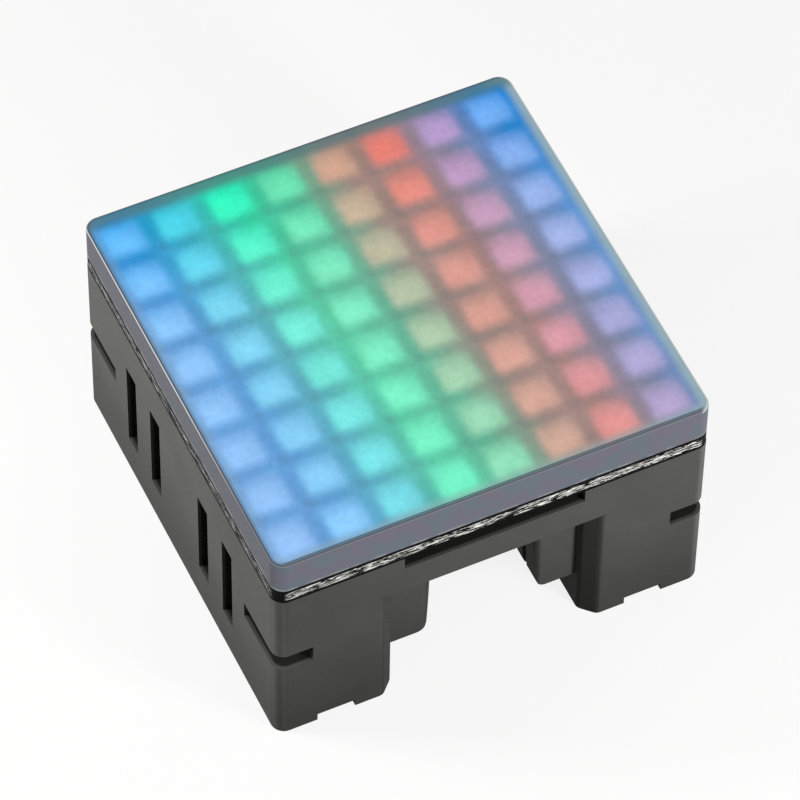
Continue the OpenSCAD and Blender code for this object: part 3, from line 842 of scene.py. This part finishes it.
class MATRIX_OT_electronics(Operator):
    """Finish the chips, their leads and the small parts on the driver board"""

    bl_idname = "matrix.electronics"
    bl_label = "Electronics"

    def execute(self, context):
        dress(epoxy(), "controller_chip", "regulator", "column_driver_1", "column_driver_2",
              *[f"row_switch_{k}" for k in range(1, 5)])
        dress(metal("Tinned leads", (0.72, 0.72, 0.7), 0.36, (2, 2, 1)), "controller_leads",
              "regulator_leads", "column_leads_1", "column_leads_2",
              *[f"switch_leads_{k}" for k in range(1, 5)])
        dress(metal("Crystal can", (0.66, 0.66, 0.67), 0.24, (6, 1, 1)), "crystal_can")
        dress(tank_finish(), "tank_capacitor")
        dress(chip_finish("Ceramic capacitors", shade(150, 118, 84), shade(172, 142, 108)),
              "capacitors")
        dress(chip_finish("Resistors", shade(30, 30, 32), shade(58, 58, 60)), "resistors")
        return {"FINISHED"}


# ---------------------------------------------------------------- the stage

FLOOR_GLOW = 0.85
WORLD_LIGHT = 0.18
CAMERA_AT = (-0.13497, -0.27933, 0.42384)
CAMERA_AHEAD = (0.26279, 0.5411, -0.79884)
CAMERA_RIGHT = (0.90597, -0.42319, 0.01138)


def soft_lamp(name, place, target, across, power):
    """A square studio lamp at place, turned to target."""
    lamp = bpy.data.lights.new(name, "AREA")
    lamp.shape = "SQUARE"
    lamp.size = across
    lamp.energy = power
    made = bpy.data.objects.new(name, lamp)
    bpy.context.scene.collection.objects.link(made)
    made.visible_glossy = False
    made.location = place
    made.rotation_euler = (Vector(target) - Vector(place)).to_track_quat("-Z", "Y").to_euler()
    return made


def floor_finish(body):
    """Pale floor: almost white to the camera, with the module's own soft shadow."""
    finish = Finish("Studio floor")
    tree = finish.tree
    speck = finish.ease(finish.grain(0.02, 2), 0.3, 0.7, 0.0, 0.05)
    finish.set(Base_Color=finish.mix(speck, tuple(body.floor), shade(160, 160, 160)), Roughness=0.8,
               Specular_IOR_Level=0.1)
    light = finish.node("ShaderNodeEmission")
    rays = finish.node("ShaderNodeLightPath")
    add = finish.node("ShaderNodeAddShader")
    light.inputs["Color"].default_value = (1, 1, 1, 1)
    shown = finish.sum("MAXIMUM", rays.outputs["Is Camera Ray"], rays.outputs["Is Glossy Ray"])
    shown = finish.sum("MAXIMUM", shown, rays.outputs["Is Transmission Ray"])
    # Painted shadow: the glow is left out inside the housing's two side chambers, which stand on
    # it.
    off_middle = finish.sum("SUBTRACT", finish.sum("ABSOLUTE", finish.x), CHAMBER_MIDDLE)
    half_width, half_length = CHAMBER_HALF
    beside = finish.ease(finish.sum("ABSOLUTE", off_middle), half_width, half_width + 0.5)
    beyond = finish.ease(finish.sum("ABSOLUTE", finish.y), half_length, half_length + 1)
    shown = finish.times(shown, finish.sum("MAXIMUM", beside, beyond))
    finish.join(finish.times(shown, FLOOR_GLOW), light.inputs["Strength"])
    tree.links.new(finish.shader.outputs[0], add.inputs[0])
    tree.links.new(light.outputs[0], add.inputs[1])
    tree.links.new(add.outputs[0], finish.output.inputs["Surface"])
    return finish.material


def studio_world(strength):
    """Even white light all round; the camera, reflections and clear parts see plain white."""
    world = bpy.data.worlds.new("Studio")
    world.use_nodes = True
    tree = world.node_tree
    tree.nodes.clear()
    output = tree.nodes.new("ShaderNodeOutputWorld")
    seen = tree.nodes.new("ShaderNodeBackground")
    lit = tree.nodes.new("ShaderNodeBackground")
    both = tree.nodes.new("ShaderNodeMixShader")
    rays = tree.nodes.new("ShaderNodeLightPath")
    seen.inputs["Strength"].default_value = 1
    lit.inputs["Strength"].default_value = strength
    for node in (seen, lit):
        node.inputs["Color"].default_value = (1, 1, 1, 1)
    shown = rays.outputs["Is Camera Ray"]
    for kind in ("Is Glossy Ray", "Is Transmission Ray"):
        either = tree.nodes.new("ShaderNodeMath")
        either.operation = "MAXIMUM"
        tree.links.new(shown, either.inputs[0])
        tree.links.new(rays.outputs[kind], either.inputs[1])
        shown = either.outputs[0]
    tree.links.new(shown, both.inputs[0])
    tree.links.new(lit.outputs[0], both.inputs[1])
    tree.links.new(seen.outputs[0], both.inputs[2])
    tree.links.new(both.outputs[0], output.inputs[0])
    bpy.context.scene.world = world


class MATRIX_OT_stage(Operator):
    """Set up the pale floor, the soft lamps, the world and the camera"""

    bl_idname = "matrix.stage"
    bl_label = "Studio"

    def execute(self, context):
        scene = context.scene
        shape = bmesh.new()
        bmesh.ops.create_grid(shape, x_segments=1, y_segments=1, size=1.5)
        mesh = bpy.data.meshes.new("studio_floor")
        shape.to_mesh(mesh)
        shape.free()
        floor = bpy.data.objects.new("studio_floor", mesh)
        mesh.materials.append(floor_finish(scene.body_colours))
        scene.collection.objects.link(floor)

        soft_lamp("Left lamp", (-0.12, 0.05, 0.065), (-0.02, 0, 0.012), 0.04, 0.22)
        soft_lamp("Right lamp", (0.06, -0.12, 0.065), (0.015, -0.02, 0.012), 0.04, 0.17)
        studio_world(WORLD_LIGHT)

        camera = bpy.data.cameras.new("Camera")
        camera.sensor_width = 36
        camera.lens = 271.35
        camera.clip_start = 0.01
        made = bpy.data.objects.new("Camera", camera)
        scene.collection.objects.link(made)
        ahead = Vector(CAMERA_AHEAD).normalized()
        right = Vector(CAMERA_RIGHT)
        right = (right - ahead * right.dot(ahead)).normalized()
        above = right.cross(ahead)
        turn = Matrix((right, above, -ahead)).transposed().to_4x4()
        made.matrix_world = Matrix.Translation(CAMERA_AT) @ turn
        scene.camera = made
        scene.view_settings.view_transform = "Standard"
        return {"FINISHED"}


# ---------------------------------------------------------------- add-on

STEPS = (
    MATRIX_OT_frosted_cap, MATRIX_OT_housing, MATRIX_OT_boards, MATRIX_OT_led_grid,
    MATRIX_OT_fasteners, MATRIX_OT_links, MATRIX_OT_cable_socket, MATRIX_OT_electronics,
    MATRIX_OT_stage,
)
GROUPS = (
    (MatrixSizes, "matrix_sizes"), (LitColours, "lit_colours"), (GapColours, "gap_colours"),
    (BodyColours, "body_colours"),
)


class MATRIX_PT_panel(Panel):
    """Lists the pieces of the module in the order they are made"""

    bl_label = "LED matrix module"
    bl_idname = "MATRIX_PT_panel"
    bl_space_type = "VIEW_3D"
    bl_region_type = "UI"
    bl_category = "Matrix"

    def draw(self, context):
        for step in STEPS:
            self.layout.operator(step.bl_idname)
        for group, name in GROUPS:
            box = self.layout.box()
            box.label(text=group.__doc__)
            for key in group.__annotations__:
                box.prop(getattr(context.scene, name), key)


def register():
    for group, name in GROUPS:
        bpy.utils.register_class(group)
        setattr(bpy.types.Scene, name, PointerProperty(type=group))
    for step in STEPS:
        bpy.utils.register_class(step)
    bpy.utils.register_class(MATRIX_PT_panel)


def unregister():
    bpy.utils.unregister_class(MATRIX_PT_panel)
    for step in reversed(STEPS):
        bpy.utils.unregister_class(step)
    for group, name in reversed(GROUPS):
        delattr(bpy.types.Scene, name)
        bpy.utils.unregister_class(group)


def main():
    register()
    for step in STEPS:
        area, name = step.bl_idname.split(".")
        getattr(getattr(bpy.ops, area), name)()


if __name__ == "__main__":
    main()
